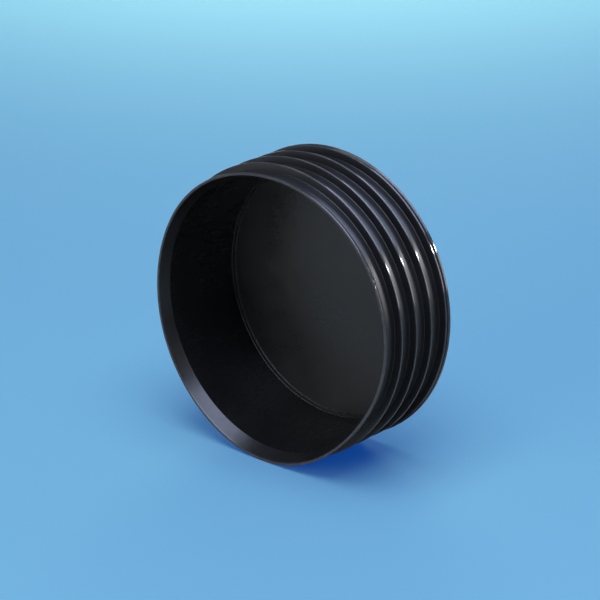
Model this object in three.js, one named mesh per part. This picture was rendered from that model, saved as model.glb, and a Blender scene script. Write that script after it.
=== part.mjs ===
// Finned pipe cap: one shallow moulded cup that pushes into the end of a steel pipe.
//
// The cap is a body of revolution about the Y axis. Its open mouth faces -Y, its closed end faces +Y,
// and it lies on its side, so the lowest flat of the end flange rests on z = 0.
// The origin is the middle of the box's bottom. Millimetres, +Z up.
//
// The real cap is a single moulding. Each mesh below is one feature of it: the end disc, the side wall,
// the flared mouth lip, the fins, the end flange and the step in the inside corner. Neighbours meet
// face to face on shared corners, so together they make the whole wall of the cap.

import * as THREE from 'three';

// ---- driving dimensions -------------------------------------------------------------------------

const capDepth = 56.5;          // mouth plane to outer face of the closed end
const coreRadius = 75;          // outside of the side wall, between the fins
const finRadius = 79;           // crests of the fins
const flangeRadius = 79.5;      // flange at the closed end, which stops on the pipe's end
const discThickness = 1.7;      // closed end
const discChamfer = 0.8;        // outer edge of the closed end
const lipRadius = 78;           // outer edge of the mouth
const lipFaceWidth = 1.2;       // flat ring that faces out of the mouth
const lipEdgeLength = 0.9;      // short straight edge before the lip slopes in
const lipLength = 5.2;          // flared part of the mouth, outside
const bevelLength = 6.2;        // lead-in bevel of the mouth, inside
const wallAtBevel = 1.6;        // thickness of the side wall where the bevel ends
const wallAtDisc = 3.4;         // the bore tapers, so the wall is thickest at the closed end
const finCount = 4;
const firstFin = 12.9;          // mouth plane to the front edge of the first crest
const finPitch = 12.3;
const crestWidth = 0.9;
const finFrontLean = 0.5;       // how far the front face leans towards the closed end
const finFillet = 0.8;          // hollow in the corner between the core and a fin's front face
const finBackFoot = 1.1;        // how far a fin's back face runs past the crest at the core
const grooveRadius = 77.6;      // bottom of the narrow groove between the last fin and the flange
const grooveOffset = 1.3;       // last crest's front edge to the groove's bottom
const flangeLandStart = 1.9;    // last crest's front edge to the front edge of the flange
const flangeBack = 54.3;        // mouth plane to the back face of the flange
const flangeChamfer = 1.4;      // back edge of the flange
const stepWidth = 2.4;          // low step in the corner between bore and disc
const stepHeight = 0.6;
const stepChamfer = 0.3;

const flats = 48;               // sides of the faceted body
const filletSteps = 2;
const discFace = capDepth - discThickness;

// ---- helpers --------------------------------------------------------------------------------------

// Corners are pushed out so that the middle of each flat lies on the stated radius.
const cornerScale = 1 / Math.cos(Math.PI / flats);

// A profile point: radius from the cap's axis, and distance behind the mouth plane.
const point = (radius, depth) => new THREE.Vector2(radius * cornerScale, depth - capDepth / 2);

const blackPolyethylene = () => new THREE.MeshStandardMaterial({
  color: new THREE.Color(0.018, 0.018, 0.02), roughness: 0.38, metalness: 0,
});

const cap = new THREE.Group();
cap.name = 'pipe_cap';
cap.position.z = flangeRadius;

// Turns a profile into one named solid. phiStart turns the body by half a flat, so it lies on a flat.
function turned(name, profile) {
  const geometry = new THREE.LatheGeometry(profile, flats, Math.PI / flats, 2 * Math.PI);
  const mesh = new THREE.Mesh(geometry, blackPolyethylene());
  mesh.name = name;
  cap.add(mesh);
}

// Ring whose section is the closed outline through the given points.
const ring = (name, outline) => turned(name, [...outline, outline[0]]);

// Inside radius of the side wall at a given depth.
function boreRadius(depth) {
  const share = (depth - bevelLength) / (discFace - bevelLength);
  return coreRadius - wallAtBevel - share * (wallAtDisc - wallAtBevel);
}

// ---- features ---------------------------------------------------------------------------------------

function addEndDisc() {
  turned('end_disc', [
    point(0, discFace),
    point(coreRadius, discFace),
    point(coreRadius, capDepth - discChamfer),
    point(coreRadius - discChamfer, capDepth),
    point(0, capDepth),
  ]);
}

function addSideWall() {
  ring('side_wall', [
    point(boreRadius(bevelLength), bevelLength),
    point(coreRadius, lipLength),
    point(coreRadius, discFace),
    point(boreRadius(discFace), discFace),
    point(boreRadius(discFace - stepHeight), discFace - stepHeight),
  ]);
}

function addMouthLip() {
  ring('mouth_lip', [
    point(lipRadius - lipFaceWidth, 0),
    point(lipRadius, 0),
    point(lipRadius, lipEdgeLength),
    point(coreRadius, lipLength),
    point(boreRadius(bevelLength), bevelLength),
  ]);
}

// Front of a fin, from the core up to the crest: a hollow fillet, then a face that leans back slightly.
function finFront(crest) {
  const faceFoot = crest - finFrontLean;
  const outline = [];
  for (let step = 0; step <= filletSteps; step += 1) {
    const angle = (step / filletSteps) * Math.PI / 2;
    outline.push(point(
      coreRadius + finFillet * (1 - Math.cos(angle)),
      faceFoot - finFillet * (1 - Math.sin(angle)),
    ));
  }
  outline.push(point(finRadius, crest));
  return outline;
}

function addFins() {
  for (let fin = 0; fin < finCount; fin += 1) {
    const crest = firstFin + fin * finPitch;
    const isLast = fin === finCount - 1;
    const back = isLast
      ? [point(grooveRadius, crest + grooveOffset), point(coreRadius, crest + grooveOffset)]
      : [point(coreRadius, crest + crestWidth + finBackFoot)];
    ring(`fin_${fin + 1}`, [...finFront(crest), point(finRadius, crest + crestWidth), ...back]);
  }
}

function addEndFlange() {
  const lastCrest = firstFin + (finCount - 1) * finPitch;
  ring('end_flange', [
    point(coreRadius, lastCrest + grooveOffset),
    point(grooveRadius, lastCrest + grooveOffset),
    point(flangeRadius, lastCrest + flangeLandStart),
    point(flangeRadius, flangeBack - flangeChamfer),
    point(flangeRadius - flangeChamfer, flangeBack),
    point(coreRadius, flangeBack),
  ]);
}

function addCornerStep() {
  const outer = boreRadius(discFace);
  ring('corner_step', [
    point(outer - stepWidth, discFace),
    point(outer - stepWidth, discFace - stepHeight + stepChamfer),
    point(outer - stepWidth + stepChamfer, discFace - stepHeight),
    point(boreRadius(discFace - stepHeight), discFace - stepHeight),
    point(outer, discFace),
  ]);
}

addEndDisc();
addSideWall();
addMouthLip();
addFins();
addEndFlange();
addCornerStep();

export default cap;
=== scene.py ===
"""Finned pipe cap in black polyethylene, lying on its side on a pale floor.

The cap is one moulding. Its section is drawn once, as a rounded line in depth and radius, and turned
about the cap's axis. The surface is then bent a little out of round and cut into the same nine
regions as the CAD model, each a closed piece of its own with the normals of the whole surface.
"""

import math
from typing import NamedTuple

import bpy
import numpy as np
from mathutils import Matrix, Vector


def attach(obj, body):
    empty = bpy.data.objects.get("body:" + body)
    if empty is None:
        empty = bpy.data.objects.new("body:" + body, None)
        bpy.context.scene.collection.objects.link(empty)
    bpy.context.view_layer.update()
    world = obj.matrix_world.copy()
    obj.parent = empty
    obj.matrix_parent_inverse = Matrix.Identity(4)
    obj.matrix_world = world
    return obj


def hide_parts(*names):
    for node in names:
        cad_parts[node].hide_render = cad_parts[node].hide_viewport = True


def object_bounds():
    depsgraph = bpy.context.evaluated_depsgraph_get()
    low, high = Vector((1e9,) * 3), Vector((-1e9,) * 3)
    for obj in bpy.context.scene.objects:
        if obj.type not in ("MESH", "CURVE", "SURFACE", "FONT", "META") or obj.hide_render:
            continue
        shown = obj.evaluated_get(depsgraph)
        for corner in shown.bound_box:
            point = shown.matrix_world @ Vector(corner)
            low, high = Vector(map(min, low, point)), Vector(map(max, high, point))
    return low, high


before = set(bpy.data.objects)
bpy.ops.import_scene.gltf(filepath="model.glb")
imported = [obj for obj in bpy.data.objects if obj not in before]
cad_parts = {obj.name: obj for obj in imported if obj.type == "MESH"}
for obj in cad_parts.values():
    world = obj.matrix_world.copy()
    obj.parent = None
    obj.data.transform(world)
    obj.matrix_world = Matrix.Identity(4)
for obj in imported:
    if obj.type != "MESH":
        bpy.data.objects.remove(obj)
cad_low, cad_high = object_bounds()

# ---- the cap's sizes, in millimetres ---------------------------------------------------------------

MM = 0.001
CAP_DEPTH = 56.5
CORE_RADIUS = 75.0
FIN_RADIUS = 79.0
FLANGE_RADIUS = 79.5
DISC_FACE = 54.8            # depth of the closed end's inner face
LIP_RADIUS = 78.0
LIP_FACE_WIDTH = 1.2
LIP_EDGE_LENGTH = 0.9
LIP_LENGTH = 5.2
BEVEL_LENGTH = 6.2
BORE_AT_BEVEL = 73.4
BORE_AT_DISC = 71.6
FIN_COUNT = 4
FIRST_FIN = 12.9            # depth of the first crest's front edge
FIN_PITCH = 12.3
CREST_WIDTH = 0.9
CREST_ROUNDING = (0.28, 0.12)   # rounding of a crest's front and back edges
FIN_FRONT_LEAN = 0.5
FIN_FILLET = 0.3            # hollow between the wall and a fin's front face
FIN_BACK_FOOT = 1.1
GROOVE_RADIUS = 77.6
GROOVE_OFFSET = 1.3
FLANGE_LAND_START = 1.9
FLANGE_BACK = 54.3
FLANGE_CHAMFER = 1.4
STEP_WIDTH = 2.4
STEP_HEIGHT = 0.6

# Bends of the flexible mouth: (cycles round the cap, cosine part, sine part).
MOUTH_BENDS = [(1, 0.81, -1.45), (2, -0.28, 1.18), (3, 0.56, 1.01), (4, 0.25, 0.12),
               (5, 0.17, -0.19)]
MOUTH_SAG = 1.75            # how far the mouth hangs below the flange

# Random wander of the moulding: how far each thin fin strays in depth and in radius, how far the
# whole wall strays in radius, and how far the closed end ripples.
FIN_STRAY_ALONG, FIN_STRAY_OUT, WALL_STRAY, END_RIPPLE = 0.13, 0.07, 0.05, 0.05
STIFF_RADIUS = 60.0         # inside this radius the closed end bends less and less

# Marks of handling on the mouth's outer edge: (direction in degrees, width in degrees, depth).
RIM_NICKS = [(26, 0.7, 0.28), (41, 0.5, 0.2), (118, 0.6, 0.22), (263, 0.6, 0.25),
             (205, 0.5, 0.18), (332, 0.6, 0.2)]
RIM_BURR = (29, 0.6, 0.18)

# Marks of moulding on the closed end: a shallow sink, and a gate stub in a dimple.
SINK_DEPTH, SINK_REACH = 0.22, 46.0
GATE_HEIGHT, GATE_RADIUS = 0.7, 1.9
DIMPLE_DEPTH, DIMPLE_RADIUS = 0.3, 5.0

AROUND = 576                # points round the cap
DEGREES_PER_STEP = 24       # turn of a rounded corner for each pair of points on its arc
AXIS_HEIGHT = cad_high.z / 2
MOUTH_Y = cad_low.y


# ---- the section -------------------------------------------------------------------------------------

def fin_crest(fin):
    """Depth of a fin's crest, at its front edge. The first fin is fin 0."""
    return FIRST_FIN + fin * FIN_PITCH


def section_corners():
    """Corners of the section, from the axis inside the cup, round the mouth, to the axis outside.

    Each is (depth, radius, rounding, spacing of points after it, cut). A cut names the place where
    one region ends and the next begins.
    """
    flat, wall, fine = 1.5, 0.9, 0.35
    corners = [
        (DISC_FACE, 0.0, 0, flat, None),
        (DISC_FACE, BORE_AT_DISC - STEP_WIDTH, 0.16, fine, "step_foot"),
        (DISC_FACE - STEP_HEIGHT, BORE_AT_DISC - STEP_WIDTH, 0.35, fine, None),
        (DISC_FACE - STEP_HEIGHT, BORE_AT_DISC + 0.03, 0.35, flat, "bore_foot"),
        (BEVEL_LENGTH, BORE_AT_BEVEL, 0.9, wall, "bevel_foot"),
        (0.0, LIP_RADIUS - LIP_FACE_WIDTH, 0.2, fine, None),
        (0.0, LIP_RADIUS, 0.15, fine, None),
        (LIP_EDGE_LENGTH, LIP_RADIUS, 0.2, wall, None),
        (LIP_LENGTH, CORE_RADIUS, 0.9, wall, "lip_root"),
    ]
    for fin in range(FIN_COUNT):
        crest = fin_crest(fin)
        corners += [
            (crest - FIN_FRONT_LEAN, CORE_RADIUS, FIN_FILLET, fine, f"fin_{fin + 1}_foot"),
            (crest, FIN_RADIUS, CREST_ROUNDING[0], fine, None),
            (crest + CREST_WIDTH, FIN_RADIUS, CREST_ROUNDING[1], fine, None),
        ]
        if fin < FIN_COUNT - 1:
            corners.append((crest + CREST_WIDTH + FIN_BACK_FOOT, CORE_RADIUS, 0.5, wall,
                            f"fin_{fin + 1}_back"))
        else:
            corners += [
                (crest + GROOVE_OFFSET, GROOVE_RADIUS, 0.25, fine, "groove"),
                (crest + FLANGE_LAND_START, FLANGE_RADIUS, 0.25, fine, None),
            ]
    corners += [
        (FLANGE_BACK - FLANGE_CHAMFER, FLANGE_RADIUS, 0.8, fine, None),
        (FLANGE_BACK, FLANGE_RADIUS - FLANGE_CHAMFER, 0.8, wall, None),
        (FLANGE_BACK, CORE_RADIUS, 0.2, fine, "flange_back"),
        (DISC_FACE, CORE_RADIUS, 0, fine, "disc_edge"),
        (CAP_DEPTH, CORE_RADIUS, 0.8, flat, None),
        (CAP_DEPTH, 0.0, 0, flat, None),
    ]
    return corners


def rounded_corner(before, corner, after, radius):
    """Points of an arc that rounds a corner, and touches the lines on both sides of it."""
    into, out = corner - before, after - corner
    room = 0.48 * min(np.linalg.norm(into), np.linalg.norm(out))
    into, out = into / np.linalg.norm(into), out / np.linalg.norm(out)
    turn = math.acos(max(-1.0, min(1.0, float(into @ out))))
    reach = min(radius * math.tan(turn / 2), room)
    radius = reach / math.tan(turn / 2)
    side = out - into * float(into @ out)
    centre = corner - into * reach + side / np.linalg.norm(side) * radius
    steps = max(2, 2 * round(math.degrees(turn) / DEGREES_PER_STEP + radius / 3))
    start = corner - into * reach - centre
    points = []
    for step in range(steps + 1):
        share = step / steps
        points.append(centre + (math.cos(turn * share) * start
                                + math.sin(turn * share) * radius * into))
    return points


def section_line():
    """The rounded section as rows of (depth, radius), and the row number of each cut."""
    corners = section_corners()
    places = [np.array(corner[:2], float) for corner in corners]
    rows, cuts = [places[0]], {}
    for index in range(1, len(corners)):
        _, _, rounding, _, cut = corners[index]
        if rounding:
            arc = rounded_corner(places[index - 1], places[index], places[index + 1], rounding)
        else:
            arc = [places[index]]
        last, spacing = rows[-1], corners[index - 1][3]
        count = max(1, math.ceil(np.linalg.norm(arc[0] - last) / spacing))
        rows += [last + (arc[0] - last) * step / count for step in range(1, count)]
        if cut:
            # A fin begins where its hollow fillet leaves the wall. Other cuts are mid-arc.
            is_fin_foot = cut.startswith("fin_") and cut.endswith("_foot")
            cuts[cut] = len(rows) + (0 if is_fin_foot else len(arc) // 2)
        rows += arc
    return np.array(rows), cuts


# ---- the surface ---------------------------------------------------------------------------------------

def waves(angle, seed, lowest, highest, amount):
    """A smooth random wave round the cap, the same on every run."""
    draw = np.random.default_rng(seed)
    total = np.zeros_like(angle)
    for cycles in range(lowest, highest + 1):
        total += draw.normal() / cycles ** 0.7 * np.cos(cycles * angle + draw.uniform(0, 2 * math.pi))
    return amount * total / math.sqrt(highest - lowest + 1)


def out_of_round(depth, angle):
    """How far the flexible mouth has bent from a circle. It fades towards the stiff closed end."""
    fade = np.clip(1 - depth / FLANGE_BACK, 0, 1) ** 4
    bend = sum(along * np.cos(cycles * angle) + across * np.sin(cycles * angle)
               for cycles, along, across in MOUTH_BENDS)
    return fade * bend


def bump_at(angle, place, width):
    """A smooth bump of height 1 round one direction from the axis. Angles are in degrees."""
    away = (np.degrees(angle) - place + 180) % 360 - 180
    return np.exp(-(away / width) ** 2)


def fin_wobble(depth, radius, angle):
    """Small wander of each thin fin, in depth and in radius. The feet stay on the wall."""
    along, outward = np.zeros_like(depth), np.zeros_like(depth)
    stand = np.clip((radius - CORE_RADIUS) / (FIN_RADIUS - CORE_RADIUS), 0, 1)
    for fin in range(FIN_COUNT):
        near = np.abs(depth - fin_crest(fin)) < FIN_PITCH / 2 - 2
        if fin == FIN_COUNT - 1:
            near &= depth < fin_crest(fin) + GROOVE_OFFSET
        amount = stand * near
        along += amount * waves(angle, 20 + fin, 2, 14, FIN_STRAY_ALONG)
        outward += amount * waves(angle, 40 + fin, 2, 18, FIN_STRAY_OUT)
    return along, outward


def rim_nicks(depth, radius, angle):
    """Nicks and a small burr from handling, along the outer edge of the mouth."""
    edge = np.exp(-(depth / 0.5) ** 2) * np.clip((radius - LIP_RADIUS + 0.9) / 0.9, 0, 1)
    inward = sum(deep * bump_at(angle, place, width) for place, width, deep in RIM_NICKS)
    place, width, height = RIM_BURR
    return -edge * inward + edge * height * bump_at(angle, place, width)


def plateau(radius, edge, softness):
    """1 inside the edge's radius and 0 outside it, with a soft step between."""
    return 1 / (1 + np.exp((radius - edge) / softness))


def end_relief(radius, angle, outside):
    """Sinks and the gate mark of the closed end, in depth."""
    sink = SINK_DEPTH * np.exp(-(radius / SINK_REACH) ** 2)
    gate = (GATE_HEIGHT * plateau(radius, GATE_RADIUS, 0.18)
            - DIMPLE_DEPTH * plateau(radius, DIMPLE_RADIUS, 0.25))
    ripple = waves(angle, 7, 2, 5, END_RIPPLE) * np.clip(radius / CORE_RADIUS, 0, 1) ** 2
    inner = -sink * 0.6 + ripple
    outer = -sink + gate + ripple
    reach = np.clip((BORE_AT_DISC - STEP_WIDTH - 1 - radius) / 3, 0, 1)
    return np.where(outside, outer, inner) * reach


def surface():
    """The whole surface as a grid of points in metres, with its section line and its cuts."""
    line, cuts = section_line()
    turn = np.arange(AROUND) / AROUND * 2 * math.pi
    depth = np.repeat(line[:, :1], AROUND, 1)
    radius = np.repeat(line[:, 1:], AROUND, 1)
    angle = np.repeat(turn[None, :], len(line), 0)
    outside = np.repeat((np.arange(len(line)) > len(line) // 2)[:, None], AROUND, 1)
    along, outward = fin_wobble(depth, radius, angle)
    on_end = (depth > DISC_FACE - 0.01) & (radius < CORE_RADIUS)
    along += end_relief(radius, angle, outside) * on_end
    grow = np.clip(radius / STIFF_RADIUS, 0, 1) ** 2
    outward += (out_of_round(depth, angle) + waves(angle, 3, 2, 9, WALL_STRAY)) * grow
    outward += rim_nicks(depth, radius, angle)
    return place_points(depth + along, radius + outward, angle), line, cuts


def place_points(depth, radius, angle):
    """Turns depths, radii and angles in millimetres into points in the row frame, in metres."""
    return np.stack([
        radius * MM * np.cos(angle),
        MOUTH_Y + depth * MM,
        AXIS_HEIGHT + radius * MM * np.sin(angle),
    ], -1)


def grid_normals(grid):
    """Normals of the whole surface, with each face weighted by its area."""
    ahead = np.roll(grid, -1, 1)
    face = np.cross(ahead[1:] - grid[:-1], ahead[:-1] - grid[1:])
    face += np.roll(face, 1, 1)
    total = np.zeros_like(grid)
    total[:-1] += face
    total[1:] += face
    total[0], total[-1] = (0, -1, 0), (0, 1, 0)
    return total / np.linalg.norm(total, axis=-1, keepdims=True)


def edge_wear(line):
    """How far each row is rubbed smooth: 1 on the fin crests, flange and mouth edge, 0 elsewhere."""
    crest = np.clip((line[:, 1] - FIN_RADIUS + 0.6) / 0.3, 0, 1)
    mouth = np.exp(-line[:, 0] ** 2) * np.clip((line[:, 1] - LIP_RADIUS + 1.4) / 0.2, 0, 1)
    return np.maximum(crest, mouth)


class Row(NamedTuple):
    """One row of points round a piece. A row inside the wall has no normals and no run."""

    points: np.ndarray
    normals: np.ndarray = None
    wear: float = 0.0
    run: str = None         # the first cut of the visible run that the row belongs to
    outer: float = 0.0      # 1 on the outside of the cap


class Moulding:
    """The whole turned surface, which the pieces are cut from."""

    def __init__(self):
        self.grid, self.line, self.cuts = surface()
        self.normals = grid_normals(self.grid)
        self.wear = edge_wear(self.line)
        self.outer = np.arange(len(self.line)) >= self.cuts["lip_root"]
        self.cuts.update(axis_inside=0, axis_outside=len(self.line) - 1)

    def shown(self, first, last):
        """A visible run of rows, from one cut to another."""
        rows = range(self.cuts[first], self.cuts[last] + 1)
        return [Row(self.grid[row], self.normals[row], self.wear[row], first, self.outer[row])
                for row in rows]


def hidden(depth, radius):
    """One row of points inside the wall, bent as the surface is."""
    angle = np.arange(AROUND) / AROUND * 2 * math.pi
    depth = np.full(AROUND, depth)
    return [Row(place_points(depth, radius + out_of_round(depth, angle), angle))]


def under_groove():
    """The hidden row where the last fin, the end flange and the wall meet."""
    return hidden(fin_crest(FIN_COUNT - 1) + GROOVE_OFFSET, CORE_RADIUS)


def under_step():
    """The hidden row where the side wall, the closed end and the corner step meet."""
    return hidden(DISC_FACE, BORE_AT_DISC)


def is_axis(row):
    """True for a row whose points all lie on the cap's axis."""
    return float(np.ptp(row.points[:, 0])) < 1e-9


def band_faces(here, there, start, after):
    """Corner numbers of the faces between two rows. A row on the axis has one point."""
    column = np.arange(AROUND)
    ahead = (column + 1) % AROUND
    if is_axis(here):
        return [np.full(AROUND, start), after + column, after + ahead], [column, column, ahead]
    if is_axis(there):
        return [start + column, np.full(AROUND, after), start + ahead], [column, column, ahead]
    corners = [start + column, after + column, after + ahead, start + ahead]
    return corners, [column, column, ahead, ahead]


def band_normals(here, there, points, corners, columns):
    """Normals at each face corner: the surface's own where it shows, flat inside the wall."""
    if here.run is not None and here.run == there.run:
        rows = {2: (here, there, here), 3: (here, there, there), 4: (here, there, there, here)}
        order = rows[3 if is_axis(here) else 2] if len(corners) == 3 else rows[4]
        return np.stack([row.normals[column] for row, column in zip(order, columns)], 1)
    places = [points[corner] for corner in corners]
    flat = np.cross(places[1] - places[0], places[2] - places[0])
    flat /= np.maximum(np.linalg.norm(flat, axis=1, keepdims=True), 1e-12)
    return np.repeat(flat[:, None], len(corners), 1)


def cut_piece(name, node, rows, material):
    """One closed piece from its rows. Unless it meets the axis, the last row joins the first."""
    kept = [row.points[:1] if is_axis(row) else row.points for row in rows]
    starts = np.concatenate([[0], np.cumsum([len(points) for points in kept])[:-1]])
    points = np.concatenate(kept)
    wear = np.concatenate([np.full(len(part), row.wear) for part, row in zip(kept, rows)])
    outer = np.concatenate([np.full(len(part), row.outer) for part, row in zip(kept, rows)])
    faces, normals = [], []
    for index in range(len(rows) - 1 if is_axis(rows[0]) else len(rows)):
        following = (index + 1) % len(rows)
        here, there = rows[index], rows[following]
        corners, columns = band_faces(here, there, starts[index], starts[following])
        faces += np.stack(corners, 1).tolist()
        normals.append(band_normals(here, there, points, corners, columns).reshape(-1, 3))
    mesh = bpy.data.meshes.new(name)
    mesh.from_pydata(points.tolist(), [], faces)
    for mark, values in (("wear", wear), ("outer", outer)):
        attribute = mesh.attributes.new(mark, "FLOAT", "POINT")
        attribute.data.foreach_set("value", values.astype(np.float32))
    mesh.polygons.foreach_set("use_smooth", np.ones(len(faces), bool))
    mesh.normals_split_custom_set(np.concatenate(normals).tolist())
    mesh.materials.append(material)
    piece = bpy.data.objects.new(name, mesh)
    bpy.context.scene.collection.objects.link(piece)
    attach(piece, "root")
    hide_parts(node)


# ---- regions -------------------------------------------------------------------------------------------

def add_end_disc(cap):
    """The closed end, from the inner face round its edge to the outer face."""
    rows = (cap.shown("axis_inside", "step_foot") + under_step()
            + cap.shown("disc_edge", "axis_outside"))
    cut_piece("end_disc_moulded", "end_disc", rows, plate_material())


def add_corner_step(cap):
    """The low step in the inside corner."""
    rows = cap.shown("step_foot", "bore_foot") + under_step()
    cut_piece("corner_step_moulded", "corner_step", rows, inside_material())


def add_side_wall(cap):
    """The bore, and the wall's outside as it shows between the fins."""
    rows = cap.shown("bore_foot", "bevel_foot") + cap.shown("lip_root", "fin_1_foot")
    for fin in range(1, FIN_COUNT):
        rows += cap.shown(f"fin_{fin}_back", f"fin_{fin + 1}_foot")
    rows += under_groove() + cap.shown("flange_back", "disc_edge") + under_step()
    cut_piece("side_wall_moulded", "side_wall", rows, wall_material())


def add_mouth_lip(cap):
    """The flared lip, from its bevel inside to its root outside."""
    cut_piece("mouth_lip_moulded", "mouth_lip", cap.shown("bevel_foot", "lip_root"), lip_material())


def add_fins(cap):
    """The ring fins. The last one ends in the groove and has no back foot."""
    for fin in range(1, FIN_COUNT + 1):
        if fin < FIN_COUNT:
            rows = cap.shown(f"fin_{fin}_foot", f"fin_{fin}_back")
        else:
            rows = cap.shown(f"fin_{fin}_foot", "groove") + under_groove()
        cut_piece(f"fin_{fin}_moulded", f"fin_{fin}", rows, wall_material())


def add_end_flange(cap):
    """The flange, from the groove to its back face."""
    rows = cap.shown("groove", "flange_back") + under_groove()
    cut_piece("end_flange_moulded", "end_flange", rows, wall_material())


# ---- materials -----------------------------------------------------------------------------------------

class Shader:
    """A node material under construction."""

    def __init__(self, name):
        self.material = bpy.data.materials.new(name)
        self.material.use_nodes = True
        self.tree = self.material.node_tree
        self.tree.nodes.clear()

    def add(self, kind, inputs=None, **settings):
        """A node with its settings, and its inputs set to a value or linked to a socket."""
        node = self.tree.nodes.new("ShaderNode" + kind)
        for key, value in settings.items():
            setattr(node, key, value)
        for key, value in (inputs or {}).items():
            if isinstance(value, bpy.types.NodeSocket):
                self.tree.links.new(value, node.inputs[key])
            else:
                node.inputs[key].default_value = value
        return node

    def math(self, operation, first, second=0.0, clamp=False):
        return self.add("Math", {0: first, 1: second}, operation=operation,
                        use_clamp=clamp).outputs[0]

    def spread(self, value, low, high, out_low, out_high):
        """The value's range from low to high, stretched to another range and held there."""
        inputs = {"Value": value, "From Min": low, "From Max": high,
                  "To Min": out_low, "To Max": out_high}
        return self.add("MapRange", inputs).outputs[0]

    def noise(self, place, scale, detail=2.0, rough=0.5):
        inputs = {"Vector": place, "Scale": scale, "Detail": detail, "Roughness": rough}
        return self.add("TexNoise", inputs).outputs["Fac"]


# Scales of the surface patterns, in features per metre.
CLOUD_SCALE, SMUDGE_SCALE, STREAK_SCALE, GRAIN_SCALE = 26, 95, 420, 2600
RUB_SCALE, SPECK_SCALE, SPECK_GROUP_SCALE = 330, 1500, 60
DRAWN_OUT = 0.03            # streaks are this much coarser along the axis than across it
RUBBED_SMOOTHER = 0.17      # roughness that rubbing takes off an edge
RUBBED_GREY, DUST_GREY = 0.45, 0.15
BLACK, LESS_BLACK = (0.0060, 0.0058, 0.0050, 1), (0.0085, 0.0080, 0.0070, 1)
SCUFF_GREY = (0.13, 0.13, 0.128, 1)


def surface_patterns(shader):
    """The patterns that the plastic's sheen, colour and bump are mixed from, by name."""
    place = shader.add("TexCoord").outputs["Object"]
    centred = shader.add("Mapping", {"Vector": place, "Location": (0, 0, -AXIS_HEIGHT)}).outputs[0]
    drawn = shader.add("Mapping", {"Vector": centred, "Scale": (1, DRAWN_OUT, 1)}).outputs[0]
    wear = shader.add("Attribute", attribute_name="wear").outputs["Fac"]
    patches = shader.spread(shader.noise(centred, RUB_SCALE, 4, 0.75), 0.45, 0.75, 0.5, 1)
    specks = shader.spread(shader.noise(centred, SPECK_SCALE, 0), 0.80, 0.86, 0, 1)
    groups = shader.spread(shader.noise(centred, SPECK_GROUP_SCALE, 2), 0.4, 0.62, 0.1, 1)
    return {
        "clouds": shader.noise(centred, CLOUD_SCALE, 4, 0.6),
        "smudges": shader.noise(centred, SMUDGE_SCALE, 5, 0.7),
        "streaks": shader.noise(drawn, STREAK_SCALE, 3, 0.6),
        "fine": shader.noise(centred, GRAIN_SCALE, 2, 0.6),
        "wear": wear,
        "outer": shader.add("Attribute", attribute_name="outer").outputs["Fac"],
        "rubbed": shader.math("MULTIPLY", wear, patches),
        "dust": shader.math("MULTIPLY", specks, groups),
    }


def sheen(shader, pattern, roughness, cloud, streak, outer_rough):
    """Roughness: uneven in clouds, smudges and streaks, and smoother where edges are rubbed."""
    rough = shader.math("ADD", roughness, shader.spread(pattern["clouds"], 0.3, 0.7, -cloud, cloud))
    rough = shader.math("ADD", rough, shader.spread(pattern["smudges"], 0.35, 0.65,
                                                    -cloud * 0.5, cloud * 0.5))
    rough = shader.math("ADD", rough, shader.spread(pattern["streaks"], 0.35, 0.65, -streak, streak))
    added = shader.math("MULTIPLY", pattern["outer"], outer_rough)
    rough = shader.math("ADD", rough, added)
    taken_off = shader.math("ADD", added, RUBBED_SMOOTHER)
    return shader.math("SUBTRACT", rough, shader.math("MULTIPLY", pattern["wear"], taken_off),
                       clamp=True)


def black_tone(shader, pattern, film, outer_film):
    """Black, a little uneven, greyer where it is rubbed, specked or under a film of dust."""
    tone = shader.add("Mix", {0: shader.spread(pattern["clouds"], 0.35, 0.65, 0, 1),
                              6: BLACK, 7: LESS_BLACK}, data_type="RGBA").outputs[2]
    marks = shader.math("MAXIMUM", shader.math("MULTIPLY", pattern["rubbed"], RUBBED_GREY),
                        shader.math("MULTIPLY", pattern["dust"], DUST_GREY))
    dusty = shader.math("ADD", film, shader.math("MULTIPLY", pattern["outer"], outer_film))
    marks = shader.math("ADD", marks, dusty)
    return shader.add("Mix", {0: marks, 6: tone, 7: SCUFF_GREY}, data_type="RGBA").outputs[2]


def polyethylene(name, roughness, cloud, streak, grain, film=0.0, outer_film=0.0, outer_rough=0.0):
    """Black moulded polyethylene: cloudy sheen, draw streaks along the axis, dust and rubbed edges.

    A film is a thin grey layer of dust over the black, from 0 to 1. The outside of the wall has its
    own film, and is rougher than the inside.
    """
    shader = Shader(name)
    pattern = surface_patterns(shader)
    height = shader.math("ADD", shader.math("MULTIPLY", pattern["fine"], grain),
                         shader.math("MULTIPLY", pattern["streaks"], streak))
    bump = shader.add("Bump", {"Height": height, "Strength": 0.35, "Distance": 0.00006})
    plastic = shader.add("BsdfPrincipled", {
        "Base Color": black_tone(shader, pattern, film, outer_film),
        "Roughness": sheen(shader, pattern, roughness, cloud, streak, outer_rough),
        "Normal": bump.outputs[0],
        "IOR": 1.5,
    })
    output = shader.add("OutputMaterial")
    shader.tree.links.new(plastic.outputs[0], output.inputs[0])
    return shader.material


def once(make):
    """Calls a function the first time only, so that pieces share its material."""
    kept = []

    def shared():
        if not kept:
            kept.append(make())
        return kept[0]

    return shared


@once
def plate_material():
    """The closed end, evenly dull under a thin film of dust."""
    return polyethylene("polyethylene_plate", roughness=0.31, cloud=0.05, streak=0.01, grain=1.0,
                        film=0.03)


@once
def inside_material():
    """The step in the inside corner."""
    return polyethylene("polyethylene_inside", roughness=0.25, cloud=0.05, streak=0.02, grain=0.8)


@once
def wall_material():
    """The side wall, glossy inside and duller outside, with the fins and the flange."""
    return polyethylene("polyethylene_wall", roughness=0.26, cloud=0.04, streak=0.02, grain=0.6,
                        outer_film=0.03, outer_rough=0.10)


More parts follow.
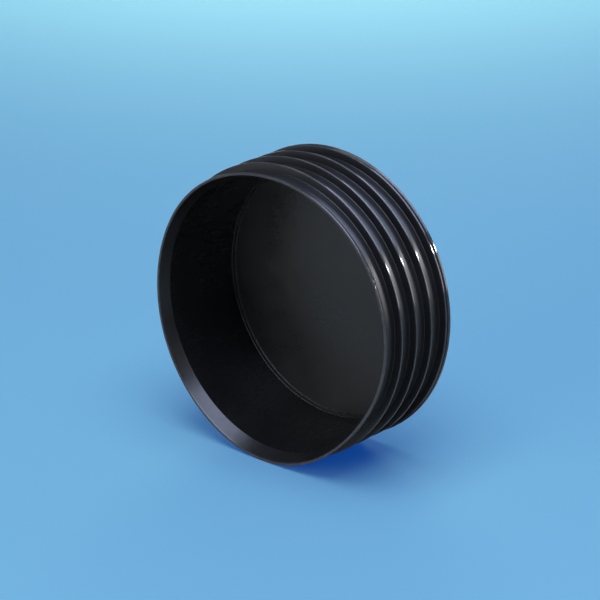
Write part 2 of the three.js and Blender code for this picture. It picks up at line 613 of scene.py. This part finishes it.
@once
def lip_material():
    """The flared lip, whose lead-in bevel shows a soft sheen."""
    return polyethylene("polyethylene_lip", roughness=0.32, cloud=0.04, streak=0.02, grain=0.6)


PAPER_SEEN, PAPER_FOR_THE_CAP = (0.146, 0.306, 0.258, 1), (0.36, 0.36, 0.29, 1)
# Painted light: a blue glow the paper gives off for the camera only, which lifts its shadows to blue.
PAINTED_GLOW_BLUE, PAINTED_GLOW_STRENGTH = (0.0, 0.15, 1.0, 1), 0.235


def floor_material():
    """Plain pale blue paper with a painted blue glow that only the camera sees, which keeps its shadows
    blue. It throws a more neutral light on the cap.
    """
    shader = Shader("pale_paper")
    seen = shader.add("LightPath").outputs["Is Camera Ray"]
    tone = shader.add("Mix", {0: seen, 6: PAPER_FOR_THE_CAP, 7: PAPER_SEEN},
                      data_type="RGBA").outputs[2]
    paper = shader.add("BsdfPrincipled", {
        "Base Color": tone, "Roughness": 0.9, "Specular IOR Level": 0.2,
        # Painted glow: for camera rays the paper glows blue, which shows most in its shadows.
        "Emission Color": PAINTED_GLOW_BLUE,
        "Emission Strength": shader.math("MULTIPLY", seen, PAINTED_GLOW_STRENGTH),
    })
    output = shader.add("OutputMaterial")
    shader.tree.links.new(paper.outputs[0], output.inputs[0])
    return shader.material


# ---- studio --------------------------------------------------------------------------------------------

CAP_CENTRE = Vector((0, 0, AXIS_HEIGHT))
CEILING = 1.1               # height of the softboxes over the cap
WASH_HEIGHT = 0.68          # height of the backdrop's light over the floor under the cap
PANEL_DISTANCE = 1.4
FLOOR_REACH = 6.0           # half the side of the floor
WHITE, COOL = (1.0, 1.0, 1.0), (0.88, 1.0, 1.42)


def direction(azimuth, elevation):
    """Unit vector from the cap towards a place given in degrees. Azimuth 0 is in front of the mouth."""
    a, e = math.radians(azimuth), math.radians(elevation)
    return Vector((math.sin(a) * math.cos(e), -math.cos(a) * math.cos(e), math.sin(e)))


def add_floor():
    """The floor touches the flange and the sagging mouth, so it slopes a little along the axis."""
    slope = MOUTH_SAG / FLANGE_BACK
    flange_y = MOUTH_Y + FLANGE_BACK * MM
    sides = (-FLOOR_REACH, FLOOR_REACH)
    corners = [(x, y, slope * (y - flange_y)) for y in sides for x in sides]
    mesh = bpy.data.meshes.new("floor")
    mesh.from_pydata(corners, [], [(0, 1, 3, 2)])
    mesh.materials.append(floor_material())
    floor = bpy.data.objects.new("floor", mesh)
    bpy.context.scene.collection.objects.link(floor)


def add_light(name, width, height, radiance, colour):
    """A rectangular soft light that the camera doesn't see. It shines down its own -Z."""
    light = bpy.data.lights.new(name, "AREA")
    light.shape, light.size, light.size_y = "RECTANGLE", width, height
    light.energy = radiance * math.pi * width * height
    light.color = colour
    box = bpy.data.objects.new(name, light)
    box.visible_camera = False
    bpy.context.scene.collection.objects.link(box)
    return box


def add_ceiling_box(name, x, y, width, length, radiance, colour):
    """A horizontal softbox over the cap."""
    box = add_light(name, width, length, radiance, colour)
    box.location = CAP_CENTRE + Vector((x, y, CEILING))
    return box


def add_panel(name, azimuth, elevation, width, height, radiance, colour):
    """A panel that faces the cap. It shows in the sheen, and adds no diffuse light as made here."""
    panel = add_light(name, width, height, radiance, colour)
    panel.location = CAP_CENTRE + direction(azimuth, elevation) * PANEL_DISTANCE
    panel.rotation_euler = (panel.location - CAP_CENTRE).to_track_quat("Z", "Y").to_euler()
    panel.visible_diffuse = False
    return panel


def add_lights():
    """Cool softboxes overhead and behind, a light on the backdrop, and panels round the cap."""
    add_ceiling_box("overhead_softbox", 0.28, -0.26, 1.1, 0.95, 5.2, COOL)
    rear = add_ceiling_box("rear_softbox", 0.42, 1.45, 1.5, 1.0, 3.6, COOL)
    rear.visible_diffuse = False
    wash = add_ceiling_box("backdrop_wash", -0.95, 1.15, 1.0, 1.0, 6.8, WHITE)
    wash.location.z = WASH_HEIGHT
    wash.visible_glossy = False
    front = add_panel("front_panel", -12, 12, 1.2, 1.0, 2.8, WHITE)
    front.visible_diffuse = True
    add_panel("back_panel", 139, 5, 0.42, 0.56, 4.4, WHITE)
    add_panel("back_lamp", 143, 19, 0.07, 0.07, 220.0, WHITE)
    add_panel("right_panel", 90, 38, 0.35, 0.9, 6.0, WHITE)
    add_panel("left_panel", -149, 30, 0.5, 0.5, 0.45, WHITE)


def add_world():
    """Dark surroundings for the sheen, a weak blue fill, and the paper's own blue past its edge."""
    world = bpy.data.worlds.new("studio")
    bpy.context.scene.world = world
    world.use_nodes = True
    tree = world.node_tree
    tree.nodes.clear()
    path = tree.nodes.new("ShaderNodeLightPath")
    last = tree.nodes.new("ShaderNodeBackground")
    last.inputs["Color"].default_value = (0.03, 0.035, 0.045, 1)
    for ray, colour in (("Is Diffuse Ray", (0.05, 0.15, 0.4, 1)),
                        ("Is Camera Ray", (0.22, 0.50, 0.78, 1))):
        background = tree.nodes.new("ShaderNodeBackground")
        background.inputs["Color"].default_value = colour
        mix = tree.nodes.new("ShaderNodeMixShader")
        tree.links.new(path.outputs[ray], mix.inputs[0])
        tree.links.new(last.outputs[0], mix.inputs[1])
        tree.links.new(background.outputs[0], mix.inputs[2])
        last = mix
    output = tree.nodes.new("ShaderNodeOutputWorld")
    tree.links.new(last.outputs[0], output.inputs[0])


def add_camera():
    """The camera stands right of the mouth and above it, and looks down at the cup."""
    azimuth, elevation = math.radians(40.64), math.radians(20.39)
    away, aside, above = 1.0236, 0.01854, 0.00896
    right = Vector((math.cos(azimuth), math.sin(azimuth), 0))
    back = direction(math.degrees(azimuth), math.degrees(elevation))
    up = back.cross(right)
    data = bpy.data.cameras.new("camera")
    data.lens, data.sensor_width = 120.0, 36.0
    data.clip_start, data.clip_end = 0.02, 30
    camera = bpy.data.objects.new("camera", data)
    mouth = Vector((0, MOUTH_Y, AXIS_HEIGHT))
    place = mouth + back * away + right * aside + up * above
    turn = Matrix((right, up, back)).transposed()
    camera.matrix_world = Matrix.Translation(place) @ turn.to_4x4()
    bpy.context.scene.collection.objects.link(camera)
    bpy.context.scene.camera = camera


# ---- the scene -----------------------------------------------------------------------------------------

moulding = Moulding()
add_end_disc(moulding)
add_corner_step(moulding)
add_side_wall(moulding)
add_mouth_lip(moulding)
add_fins(moulding)
add_end_flange(moulding)
add_floor()
add_lights()
add_world()
add_camera()
bpy.context.scene.view_settings.view_transform = "Standard"
